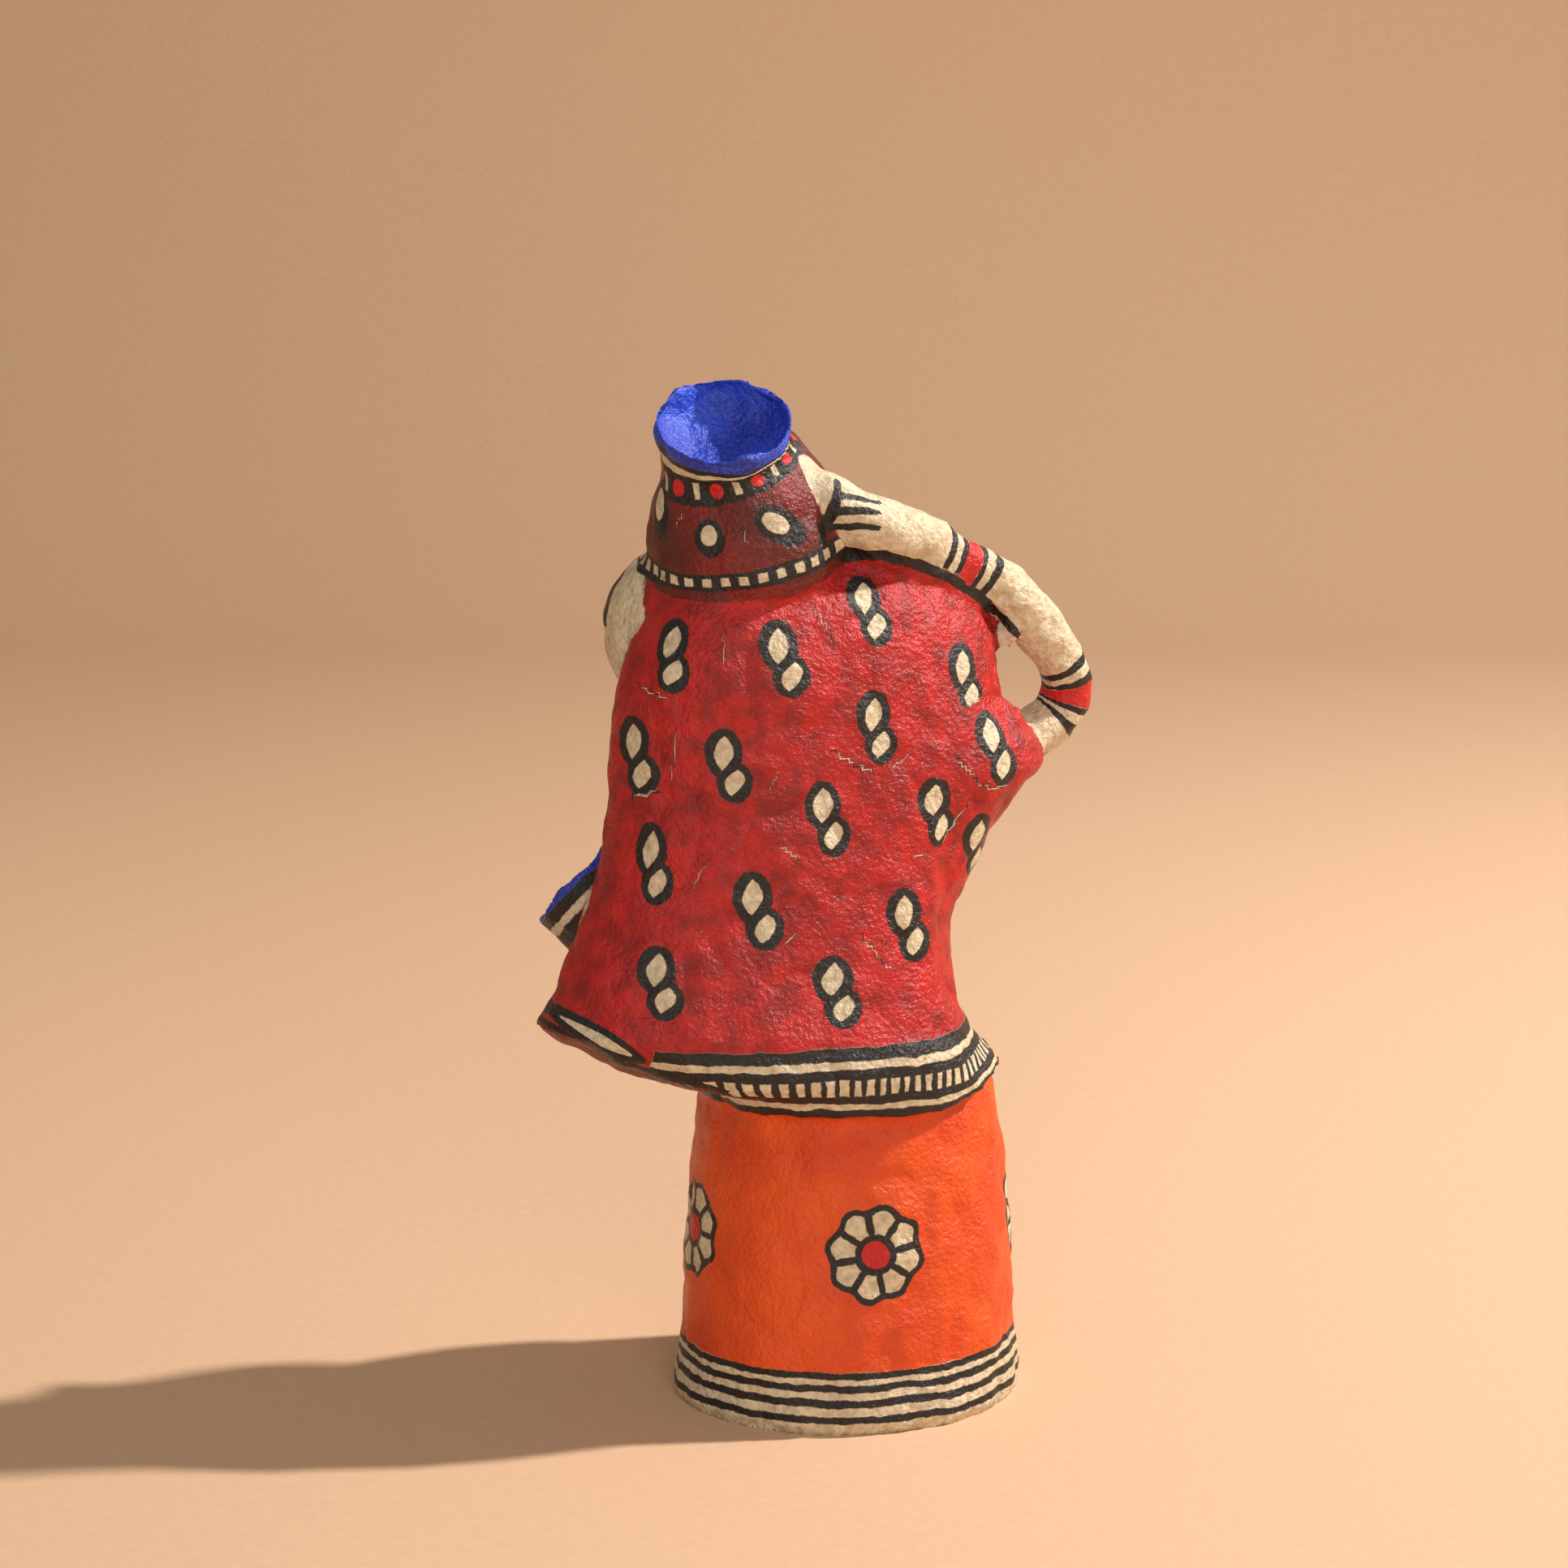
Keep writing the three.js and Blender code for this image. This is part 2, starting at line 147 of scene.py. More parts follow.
def press_pulp(places, normals, pots):
    """Lumps and folds of pulp all over, uneven rims and a torn edge, within the solid's own box."""
    rise = np.zeros(len(places))
    for shift, (size, height) in enumerate(PULP_LUMPS):
        rise += height * (noise_at(places, size, LUMP_SHIFT * shift) - PULP_SINK)
    fold = np.abs(noise_at(places * [1, 1, 0.6], CREASE_SIZE, CREASE_SHIFT))
    rise -= CREASE_DEPTH * np.clip(1 - fold / CREASE_SPREAD, 0, 1)**2
    for wall, down, _, _ in pots:
        at_rim = np.clip(1 - down / RIM_REACH, 0, 1) * (wall < RIM_WALL)
        rise += at_rim * RIM_HEIGHT * noise_at(places, RIM_SIZE, RIM_SHIFT)
    at_foot = np.clip(1 - places[:, 2] / FOOT_REACH, 0, 1)
    rise += at_foot * FOOT_HEIGHT * (noise_at(places, FOOT_SIZE, FOOT_SHIFT) - FOOT_SINK)
    torn = ((places > TORN_LOW) & (places < TORN_HIGH)).all(1)
    rise[torn] += TORN_HEIGHT * noise_at(places[torn], TORN_SIZE, TORN_SHIFT)
    moved = places + normals * rise[:, None]
    low, high = (np.array(corner) / MM for corner in solid_box)
    moved = np.clip(moved, low, high)
    moved[places[:, 2] < UNDERSIDE, 2] = 0
    return moved


# ---- Finding the forms ------------------------------------------------------------------------

def at_height(stations, height):
    """The value of a table of (where, value) pairs at each height."""
    return np.interp(height, [where for where, _ in stations], [value for _, value in stations])


LINE_STEPS = 8


def smooth_line(points):
    """A smooth line through the points, as an array with LINE_STEPS places from each to the next."""
    row = [np.array(point, float) for point in points]
    row = [2 * row[0] - row[1], *row, 2 * row[-1] - row[-2]]
    line = []
    for before, start, end, after in zip(row, row[1:], row[2:], row[3:]):
        bend = 2 * before - 5 * start + 4 * end - after
        twist = 3 * start - before - 3 * end + after
        for step in range(LINE_STEPS):
            t = step / LINE_STEPS
            line.append(0.5 * (2 * start + (end - before) * t + bend * t**2 + twist * t**3))
    return np.array([*line, row[-2]])


def beside_line(places, line):
    """For each place: its distance from a line, how far along the line that is, and the offset
    and the line's direction there."""
    nearest = np.full(len(places), np.inf)
    along = np.zeros(len(places))
    offset = np.zeros_like(places)
    heading = np.zeros_like(places)
    passed = 0.0
    for start, end in zip(line, line[1:]):
        length = np.linalg.norm(end - start)
        direction = (end - start) / length
        share = np.clip((places - start) @ direction, 0, length)
        sideways = places - start - share[:, None] * direction
        distance = np.linalg.norm(sideways, axis=1)
        closer = distance < nearest
        nearest[closer] = distance[closer]
        along[closer] = passed + share[closer]
        offset[closer] = sideways[closer]
        heading[closer] = direction
        passed += length
    return nearest, along, offset, heading


def from_limb(places, joints):
    """How far each place is outside a limb, and how far along it."""
    line = smooth_line([place for place, _ in joints])
    marks = np.concatenate([[0], np.cumsum(np.linalg.norm(np.diff(line, axis=0), axis=1))])[::LINE_STEPS]
    distance, along, _, _ = beside_line(places, line)
    return distance - np.interp(along, marks, [radius for _, radius in joints]), along


def from_pot(places, line, radii):
    """How far each place is outside a pot's wall, how far below its lip, and which way round."""
    distance, down, offset, heading = beside_line(places, smooth_line(line))
    east = np.array([1.0, 0, 0]) - heading[:, :1] * heading
    east /= np.linalg.norm(east, axis=1)[:, None]
    north = np.cross(east, heading)
    turn_east, turn_north = (offset * east).sum(1), (offset * north).sum(1)
    return distance - at_height(radii, down), down, turn_east, turn_north


def from_lump(places, middle, halves, turn):
    """How far each place is outside an ellipsoid turned about the vertical."""
    angle = math.radians(turn)
    offset = places - np.array(middle)
    aside = offset[:, 0] * math.cos(angle) + offset[:, 1] * math.sin(angle)
    along = offset[:, 1] * math.cos(angle) - offset[:, 0] * math.sin(angle)
    share = np.sqrt((aside / halves[0])**2 + (along / halves[1])**2 + (offset[:, 2] / halves[2])**2)
    return (share - 1) * np.linalg.norm(offset, axis=1) / np.maximum(share, 1e-6)


def from_torso(places):
    """How far each place is outside her own body."""
    height = places[:, 2]
    aside = places[:, 0] - at_height(TORSO_ASIDE, height)
    ahead = places[:, 1] + at_height(TORSO_AHEAD, height)
    share = np.sqrt((aside / at_height(TORSO_HALF_WIDTH, height))**2
                    + (ahead / at_height(TORSO_HALF_DEPTH, height))**2)
    inside = (share - 1) * np.hypot(aside, ahead) / np.maximum(share, 1e-6)
    return np.where(height > TORSO_HALF_WIDTH[-1][0], inside + height - TORSO_HALF_WIDTH[-1][0], inside)


def hem_height(places):
    """Each place's height as the hem feels it, without its rise over the hip."""
    share = np.clip((HEM_RISE_FROM - places[:, 0]) / (HEM_RISE_FROM - HEM_RISE_TO), 0, 1)
    rise = HEM_RISE * share * share * (3 - 2 * share) / (HEM_HIGH - HEM_LOW)
    unlifted = (places[:, 2] - rise * HEM_HIGH) / (1 - rise)
    return np.where(places[:, 2] < HEM_HIGH, unlifted, places[:, 2])


# ---- Motifs -----------------------------------------------------------------------------------

# Where the pairs of dots are on the back of the veil: across and up. Each is the upper dot.
PAIRS_BEHIND = [
    (5, 242), (61, 231), (33, 230), (-26, 220), (5, 209), (71, 202), (49, 200), (-34, 200), (21, 184),
    (-14, 183), (68, 172), (-31, 170), (42, 159), (-3, 152), (69, 139), (20, 135),
]
PAIR_TILT = 5  # degrees either way
PAIR_REACH = 17  # a pair and its outline lie within this

FLOWER_HEIGHT = 53.5
FLOWER_SIDES = (0, 79.5, 166, 250)  # degrees round from +X
FLOWER_REACH = 21

# The dots on the pot's shoulder: the place, the half length and half width, and the tilt.
POT_SPOTS = [
    ((59, 6, 268), 4.6, 2.4, 12),
    ((51.4, 23.7, 260.8), 2.9, 2.5, 8),
    ((33.4, 30.5, 264.2), 4.4, 2.7, 62),
    ((52, -18, 266), 4, 2.6, -10),
    ((30, -26, 266), 4, 2.6, 12),
    ((12, -14, 266), 4, 2.6, -8),
]
SPOT_REACH = 11
MARK_FADE = 1.5  # over this much a mark's reach ends
MARK_FACING = -0.2  # a mark stays off surfaces that face further away than this
LOOK_FROM = 0.3  # metres, well outside the figure


def facing(tree, place, towards):
    """The surface under a place, seen along -towards, and its outward direction."""
    start = Vector(place) * MM + Vector(towards) * LOOK_FROM
    hit, normal, _, _ = tree.ray_cast(start, -Vector(towards))
    if hit is None:
        return None
    return np.array(hit) / MM, np.array(normal)


def stamp(places, normals, marks, reach):
    """Where each place lies on the nearest mark: across, up, and 1 within the mark's reach.
    A mark is its middle, its outward direction, a turn in degrees, and its width and height."""
    across, up, near = np.zeros(len(places)), np.zeros(len(places)), np.zeros(len(places))
    nearest = np.full(len(places), np.inf)
    for middle, outward, turn, width, height in marks:
        offset = places - middle
        distance = np.linalg.norm(offset, axis=1)
        mine = distance < nearest
        rise = np.array([0, 0, 1.0]) - outward[2] * outward
        rise /= np.linalg.norm(rise)
        right = np.cross(rise, outward)
        c, s = math.cos(math.radians(turn)), math.sin(math.radians(turn))
        nearest[mine] = distance[mine]
        across[mine] = (offset[mine] @ (right * c + rise * s)) / width
        up[mine] = (offset[mine] @ (rise * c - right * s)) / height
        inside = np.clip((reach - distance[mine]) / MARK_FADE, 0, 1)
        near[mine] = inside * (normals[mine] @ outward > MARK_FACING)
    return across, up, near


def veil_pairs(tree):
    """The marks of the pairs of dots on the veil."""
    dice = random.Random(4)
    marks = []
    for across, height in PAIRS_BEHIND:
        middle, outward = facing(tree, (across, 0, height), (0, 1, 0))
        marks.append((middle, outward, dice.uniform(-PAIR_TILT, PAIR_TILT),
                      dice.uniform(0.9, 1.04), dice.uniform(0.92, 1.04)))
    return marks


def skirt_flowers(tree):
    """The marks of the flowers round the skirt."""
    marks = []
    for number, side in enumerate(FLOWER_SIDES):
        angle = math.radians(side)
        middle, outward = facing(tree, (0, 0, FLOWER_HEIGHT), (math.cos(angle), math.sin(angle), 0))
        marks.append((middle, outward, 11 * number, 1, 1))
    return marks


def pot_spots(tree):
    """The marks of the dots on the pot's shoulder."""
    marks = []
    for place, half_length, half_width, tilt in POT_SPOTS:
        found, outward, _, _ = tree.find_nearest(Vector(place) * MM)
        marks.append((np.array(found) / MM, np.array(outward), tilt, half_width, half_length))
    return marks


# ---- Brush strokes ----------------------------------------------------------------------------

# Black lines drawn with the brush, from behind and from in front: the points that each passes,
# across and up, with half its width there.
STROKES_BEHIND = [
    [((13.5, 275), 1.2), ((16, 266), 1.8), ((18, 258), 2), ((10, 253.5), 1.9), ((-3.4, 252), 1.7),
     ((-20, 246.5), 1.7), ((-31, 241), 1.6), ((-38, 236), 1.5), ((-45, 230), 1.3), ((-50, 225), 1)],
    [((14, 271.5), 1.1), ((6, 270.3), 1.1), ((0.8, 269), 0.7)],
    [((15, 266.6), 1.3), ((8, 266.8), 1.2), ((1.4, 266), 0.8)],
    [((17, 261.4), 1.3), ((9, 262), 1.2), ((2, 261.4), 0.8)],
]
STROKES_BEFORE = [
    [((39, 121.6), 0.8), ((46, 122.4), 0.6)],
    [((38.4, 118.8), 0.8), ((46, 119.2), 0.6)],
    [((39, 116), 0.8), ((46, 116), 0.6)],
]


FAR_FROM_INK = -20.0


def ink_of(places, tree):
    """How far each place is inside the nearest brush stroke, in millimetres."""
    ink = np.full(len(places), FAR_FROM_INK)
    for strokes, towards in ((STROKES_BEHIND, (0, 1, 0)), (STROKES_BEFORE, (0, -1, 0))):
        for stroke in strokes:
            flat = smooth_line([(across, 0, up) for (across, up), _ in stroke])
            drawn = [(facing(tree, place, towards), number / LINE_STEPS) for number, place in enumerate(flat)]
            line = np.array([found[0] for found, _ in drawn if found is not None])
            share = [number for found, number in drawn if found is not None]
            marks = np.concatenate([[0], np.cumsum(np.linalg.norm(np.diff(line, axis=0), axis=1))])
            halves = np.interp(share, range(len(stroke)), [half for _, half in stroke])
            distance, along, _, _ = beside_line(places, line)
            ink = np.maximum(ink, np.interp(along, marks, halves) - distance)
    return ink


# ---- The paint's nodes ------------------------------------------------------------------------

class Wire:
    """A value on its way through the paint's nodes. A sum on it adds a Math node. On distances,
    & keeps what lies inside both shapes and | what lies inside either."""

    def __init__(self, bench, socket):
        self.bench = bench
        self.socket = socket

    def __add__(self, other):
        return self.bench.sum("ADD", self, other)

    __radd__ = __add__

    def __sub__(self, other):
        return self.bench.sum("SUBTRACT", self, other)

    def __rsub__(self, other):
        return self.bench.sum("SUBTRACT", other, self)

    def __mul__(self, other):
        return self.bench.sum("MULTIPLY", self, other)

    __rmul__ = __mul__

    def __truediv__(self, other):
        return self.bench.sum("DIVIDE", self, other)

    def __rtruediv__(self, other):
        return self.bench.sum("DIVIDE", other, self)

    def __pow__(self, other):
        return self.bench.sum("POWER", self, other)

    def __mod__(self, other):
        return self.bench.sum("FLOORED_MODULO", self, other)

    def __and__(self, other):
        return self.bench.sum("MINIMUM", self, other)

    __rand__ = __and__

    def __or__(self, other):
        return self.bench.sum("MAXIMUM", self, other)

    __ror__ = __or__

    def __neg__(self):
        return self * -1

    def __abs__(self):
        return self.bench.sum("ABSOLUTE", self)


class Bench:
    """The painter's bench: the nodes of one material."""

    def __init__(self, name):
        self.material = bpy.data.materials.new(name)
        self.material.use_nodes = True
        self.tree = self.material.node_tree
        self.shader = self.tree.nodes["Principled BSDF"]

    def feed(self, socket, value):
        if isinstance(value, Wire):
            self.tree.links.new(value.socket, socket)
        else:
            socket.default_value = value

    def node(self, kind, settings, sockets, output=0):
        """A node of a kind. Its settings come first, then the values or wires of its sockets."""
        made = self.tree.nodes.new("ShaderNode" + kind)
        for name, value in settings.items():
            setattr(made, name, value)
        for name, value in sockets.items():
            self.feed(made.inputs[name], value)
        return Wire(self, made.outputs[output])

    def sum(self, operation, *values):
        return self.node("Math", {"operation": operation}, dict(enumerate(values)))

    def mask(self, inside, softness=0.25):
        """1 where a distance is inside, 0 outside, and soft over the given width."""
        sockets = {0: inside, 1: 1 / softness, 2: 0.5}
        return self.node("Math", {"operation": "MULTIPLY_ADD", "use_clamp": True}, sockets)

    def blend(self, under, over, mask):
        """One colour over another where the mask is 1."""
        return self.node("Mix", {"data_type": "RGBA"}, {0: mask, 6: under, 7: over}, 2)

    def stored(self, name):
        """A value that the mesh holds."""
        return self.node("Attribute", {"attribute_name": name}, {}, "Fac")

    def noise(self, place, size, detail=2.0):
        """Noise of about -1 to 1, with lumps of a size in millimetres."""
        sockets = {"Vector": place, "Scale": 1 / size, "Detail": detail}
        return self.node("TexNoise", {}, sockets) * 2 - 1

    def chance(self, number):
        """A fixed random value from 0 to 1 for each whole number."""
        return self.node("TexWhiteNoise", {"noise_dimensions": "1D"}, {"W": number})


def paint(red, green, blue):
    """A paint's colour from its everyday values of 0 to 255."""
    return (*(((v / 255 + 0.055) / 1.055)**2.4 if v > 10 else v / 255 / 12.92 for v in (red, green, blue)), 1)


VEIL_RED = paint(182, 14, 7)
VEIL_DARK = paint(132, 8, 5)
VEIL_BRIGHT = paint(196, 20, 18)
ORANGE = paint(232, 84, 6)
ORANGE_RED = paint(206, 52, 4)
CREAM = paint(222, 205, 172)
CREAM_DIRT = paint(176, 154, 120)
BLACK = paint(22, 18, 16)
BLACK_THIN = paint(62, 26, 16)
BLUE = paint(52, 84, 214)
BLUE_DARK = paint(30, 44, 150)
POT_RED = paint(146, 22, 12)
POT_BROWN = paint(78, 20, 9)
EDGE_BROWN = paint(122, 40, 22)
DOT_RED = paint(200, 22, 20)

STRIPES = [(3.65, 5.85), (8.4, 10.7), (12.75, 14.95), (16.55, 18.6)]  # black ones on the foot, by height
HEM_BANDS = [(93.5, 96.8), (98.6, 101.6), (106.7, 109.9), (112.3, 116)]  # black lines, by hem height
HEM_BARS = (101.6, 106.7)
HEM_BAR_COUNT = 82
HEM_END = 71  # how far the hem band runs towards her left
# Rings along the arms: where each bangle starts, and how wide its black, cream and red rings are.
BANGLES = {"right": [51.3, 113.5], "left": [68, 103]}
BANGLE_BLACK = [(0, 2.6), (5.2, 7.8), (13.6, 15.6), (18.2, 20.9)]
BANGLE_RED = (7.8, 13.6)
BANGLE_WIDTH = 20.9

NOWHERE = -9  # a distance that lies inside nothing
COAT, THIN_COAT, BODY_COAT = 0.6, 0.5, 0.9  # how far a form's own paint reaches past its shape
CLEAR, POT_CLEAR = 0.8, 1  # how far paint stays off a form that lies against it
HERE_SLOPE = 20  # turns a mark's 0 to 1 into a distance

FOOT_SWAY, FOOT_SWAY_SIZE = 0.9, 17
HEM_SWAY, HEM_SWAY_SIZE = 1.1, 13
HEM_RADIUS = 47
HEM_GAP, HEM_GAP_MORE, HEM_GAP_PAST = 0.75, 0.5, 0.6

LOBE_FROM, LOBE_BEHIND, LOBE_ABOVE = 50, -14, 88
LOBE_BROWN = 3.4
LOBE_LINE = (3.2, 5.2)
TIP_MIDDLE, TIP_SLOPE, TIP_BEHIND = (84, 119), 0.55, -4
TIP_OUTLINE, TIP_CREAM = (11, 4), (8, 1.8)

# Her face, from the middle of the head: aside, up and ahead.
FACE_OVAL, FACE_OVAL_UP = (18.5, 23), -4
HAIR_ABOVE, HAIR_AHEAD = 2, 12
HOOD_LINE, HOOD_LINE_AHEAD = (0.4, 1.8), -2
FACE_AHEAD = 8
NOSE_COAT, NOSE_AHEAD, NOSE_HALF_WIDTH, NOSE_SPAN = 8, 14, 9, (-14, 12)
EYE_ASIDE, EYE_UP = 8.6, 0.5
EYE, LID, PUPIL, PUPIL_UP = (2.3, 5.2), (3.5, 6.4), (1.7, 1.8), 0.6
BROW_UP, BROW_PEAK, BROW_BEND, BROW_HALF, BROW_SPAN = 7.6, 8, 0.045, 0.75, (3.2, 14.5)
LIPS_UP, LIPS = -13.6, (2.2, 5.4)
FOREHEAD_DOT_UP, FOREHEAD_DOT = 14, 1.7

# Her front, by height.
FRONT_FROM, NECK_FROM = -12, -14
SKIN_SPAN, BLOUSE, SKIRT_TOP = (134, 230), (158, 190), (116, 134)
BLOUSE_EDGES, BLOUSE_LINE, WAISTBAND = [(155.5, 158), (190, 192)], (159.5, 161.5), (132.5, 135)
NECK_SPAN, NECKLACE, NECKLACE_LINE = (190, 214), (194, 198.5), (195.6, 197)

# The pots, by how far below the lip.
BOWL_WALL, BOWL_DEPTH = 3, 16
RIM_BLUE, COLLAR, COLLAR_LINE, COLLAR_SWAY = 5.2, (5, 16), (6.9, 8.7), 0.7
COLLAR_COUNT, COLLAR_RADIUS = 10, 20
COLLAR_BAR, COLLAR_BAR_HALF = (10.2, 14.4), 0.95
COLLAR_DOT_DOWN, COLLAR_DOT = 12.2, 2.1
RING, RING_WALL, RING_INSIDE = (37.6, 44.3), 2.2, 4
TICK_COUNT, TICK_RADIUS, TICK_HALF, TICKS = 34, 30, 1.4, (39.3, 42.6)
HIP_RIM_BLUE, HIP_COLLAR, HIP_LINE = 3.2, (3, 12), (6.5, 8.5)

# A pair of dots, from the upper one.
PAIR_LOWER = (2.9, -9)
UPPER_OUTLINE, LOWER_OUTLINE = (5.9, 7.4), (5.6, 6.1)
UPPER_DOT, LOWER_DOT = (3, 5), (3, 3.9)
UPPER_LEAN, LOWER_LEAN = 0.12, 0.3

PETAL_COUNT = 8
FLOWER_OUTLINE, FLOWER_OUTLINE_WAVE = 14.4, 0.8
PETAL_OUTER, PETAL_WAVE, PETAL_INNER, PETAL_GAP = 12.4, 0.9, 6.2, 1
FLOWER_MIDDLE = 4.1

SPOT_OUTLINE, SPOT_LEAN, SPOT_SIZE = 1.8, 0.2, 3  # in the spot's own halves, and its size in mm


class Figure(Bench):
    """The paint of the whole figure, laid on as the painter does: grounds, then ink, then dots."""

    def __init__(self):
        super().__init__("painted_paper")
        self.place = self.node("VectorMath", {"operation": "SCALE"},
                               {0: self.node("TexCoord", {}, {}, "Object"), "Scale": 1000.0})
        self.x, self.y, self.z = (self.node("SeparateXYZ", {}, {0: self.place}, axis) for axis in "XYZ")
        self.wobble = self.noise(self.place, 4) * 0.55 + self.noise(self.place, 1.3, 1) * 0.25
        self.patches = self.noise(self.place, 22, 4)
        self.grain = self.noise(self.place, 2.2, 4)
        self.colour = VEIL_RED
        self.ink = NOWHERE
        self.cream = NOWHERE
        self.red = NOWHERE
        self.skin = self.blend(CREAM, CREAM_DIRT, self.mask(self.grain - 0.2, 0.8))
        grains = self.noise(self.place, 0.9, 3) + self.patches
        self.blue = self.blend(BLUE, BLUE_DARK, self.mask(grains, 0.7))

    def lay(self, colour, inside, softness=0.3):
        """A coat of a colour inside a shape."""
        self.colour = self.blend(self.colour, colour, self.mask(inside + self.wobble, softness))

    def band(self, value, low, high):
        """How far a value is inside a band."""
        return (value - low) & (high - value)

    def oval(self, across, up, half_width, half_height):
        """How far a place is inside an oval."""
        reach = ((across / half_width)**2 + (up / half_height)**2)**0.5
        return (1 - reach) * min(half_width, half_height)

    def leaf(self, across, up, half_width, half_height):
        """How far a place is inside a pointed leaf."""
        return (1 - (up / half_height)**2 - abs(across) / half_width) * (half_width * 0.75)

    def clear_of_left(self):
        """How far a place is off the left arm and the pot that it holds."""
        return (self.stored("left_arm") - CLEAR) & (self.stored("hip_wall") - POT_CLEAR)

    def motif(self, name):
        """Where a place lies on the nearest mark of a motif, and how far inside the mark's reach."""
        across, up, near = (self.stored(f"{name}_{part}") for part in ("across", "up", "near"))
        return across, up, (near - 0.5) * HERE_SLOPE

    def draw(self):
        self.veil()
        self.skirt()
        self.hem()
        self.lobe()
        self.front()
        self.face()
        self.arms()
        self.head_pot()
        self.hip_pot()
        self.pairs()
        self.flowers()
        self.spots()
        self.lay(self.blend(BLACK, BLACK_THIN, self.mask(self.grain - 0.35, 0.3)), self.ink)
        self.lay(self.skin, self.cream)
        self.finish()

    def veil(self):
        streaks = self.noise(self.place, 6, 5) + self.patches * 0.3
        dark = self.blend(VEIL_RED, VEIL_DARK, self.mask(streaks - 0.1, 0.9))
        self.colour = self.blend(dark, VEIL_BRIGHT, self.mask(-streaks - 0.2, 0.8))

    def skirt(self):
        orange = self.blend(ORANGE, ORANGE_RED, self.mask(self.patches - 0.1, 0.8))
        self.lay(orange, HEM_LOW - self.stored("hem"))
        self.lay(self.skin, STRIPES[-1][1] - self.z)
        for number, (low, high) in enumerate(STRIPES):
            sway = self.noise(self.place, FOOT_SWAY_SIZE + number, 1) * FOOT_SWAY
            self.ink = self.ink | self.band(self.z + sway, low, high)

    def hem(self):
        level = self.stored("hem") + self.noise(self.place, HEM_SWAY_SIZE, 2) * HEM_SWAY
        band = self.band(level, HEM_LOW, HEM_BANDS[-1][1]) & (HEM_END - self.x) & self.clear_of_left()
        self.lay(self.skin, band)
        lines = NOWHERE
        for low, high in HEM_BANDS:
            lines = self.band(level, low, high) | lines
        turn = self.sum("ARCTAN2", self.y, self.x) * (HEM_BAR_COUNT / math.tau)
        gap = self.chance(self.sum("FLOOR", turn)) * HEM_GAP_MORE + HEM_GAP
        from_bar = abs(turn % 1 - 0.5) * (math.tau * HEM_RADIUS / HEM_BAR_COUNT)
        bars_low, bars_high = HEM_BARS
        gaps = (from_bar - gap) & self.band(level, bars_low - HEM_GAP_PAST, bars_high + HEM_GAP_PAST)
        self.ink = self.ink | ((lines | gaps) & band)

    def lobe(self):
        """The veil's edge where it stands out over the left arm."""
        edge = self.stored("lobe") + self.noise(self.place, 11, 1) * 0.8
        free = self.clear_of_left() & (self.x - LOBE_FROM) & (self.y - LOBE_BEHIND) & (self.z - LOBE_ABOVE)
        self.lay(EDGE_BROWN, (LOBE_BROWN - edge) & free)
        self.ink = self.ink | (self.band(edge, *LOBE_LINE) & free)
        across = self.x - TIP_MIDDLE[0]
        up = self.z - TIP_MIDDLE[1] - across * TIP_SLOPE
        tip = free & (self.y - TIP_BEHIND)
        self.ink = self.ink | (self.oval(across, up, *TIP_OUTLINE) & tip)
        self.cream = self.cream | (self.leaf(across, up, *TIP_CREAM) & tip)

    def arms(self):
        self.lay(self.skin, COAT - self.stored("right_arm"))
        self.lay(self.skin, COAT - self.stored("scrap"))
        self.lay(self.skin, THIN_COAT - self.stored("left_arm"))
        self.ink = self.ink | self.stored("strokes")
        for side, starts in BANGLES.items():
            on_arm = COAT - self.stored(side + "_arm")
            along = self.stored(side + "_along") + self.wobble * 0.5
            for start in starts:
                level = along - start
                self.lay(self.skin, self.band(level, 0, BANGLE_WIDTH) & on_arm)
                for low, high in BANGLE_BLACK:
                    self.ink = self.ink | (self.band(level, low, high) & on_arm)
                self.red = self.red | (self.band(level, *BANGLE_RED) & on_arm)

    def face(self):
        aside, up, ahead = (self.stored("face_" + part) for part in ("aside", "up", "ahead"))
        head, side = self.stored("head"), abs(aside)
        on_head = THIN_COAT - head
        nose = (NOSE_COAT - head) & (ahead - NOSE_AHEAD) & (NOSE_HALF_WIDTH - side)
        nose = nose & self.band(up, *NOSE_SPAN)
        self.lay(self.skin, on_head | nose)
        hair = -self.oval(aside, up - FACE_OVAL_UP, *FACE_OVAL)
        hair = hair & (up - HAIR_ABOVE) & (ahead - HAIR_AHEAD) & on_head
        hood_line = self.band(head, *HOOD_LINE) & (ahead - HOOD_LINE_AHEAD) & (CLEAR - self.stored("hood"))
        self.ink = self.ink | hair | hood_line
        front = on_head & (ahead - FACE_AHEAD)
        from_eye, above_eye = side - EYE_ASIDE, up - EYE_UP
        eye, lid = self.leaf(above_eye, from_eye, *EYE), self.leaf(above_eye, from_eye, *LID)
        pupil = self.oval(from_eye, up - PUPIL_UP, *PUPIL)
        above_brow = up - BROW_UP + (side - BROW_PEAK) * (side - BROW_PEAK) * BROW_BEND
        brow = (BROW_HALF - abs(above_brow)) & self.band(side, *BROW_SPAN)
        self.ink = self.ink | ((lid | brow) & front)
        self.cream = self.cream | (eye & (-pupil) & front)
        lips = self.leaf(up - LIPS_UP, aside, *LIPS)
        dot = self.oval(aside, up - FOREHEAD_DOT_UP, FOREHEAD_DOT, FOREHEAD_DOT)
        self.red = self.red | ((lips | dot) & front)

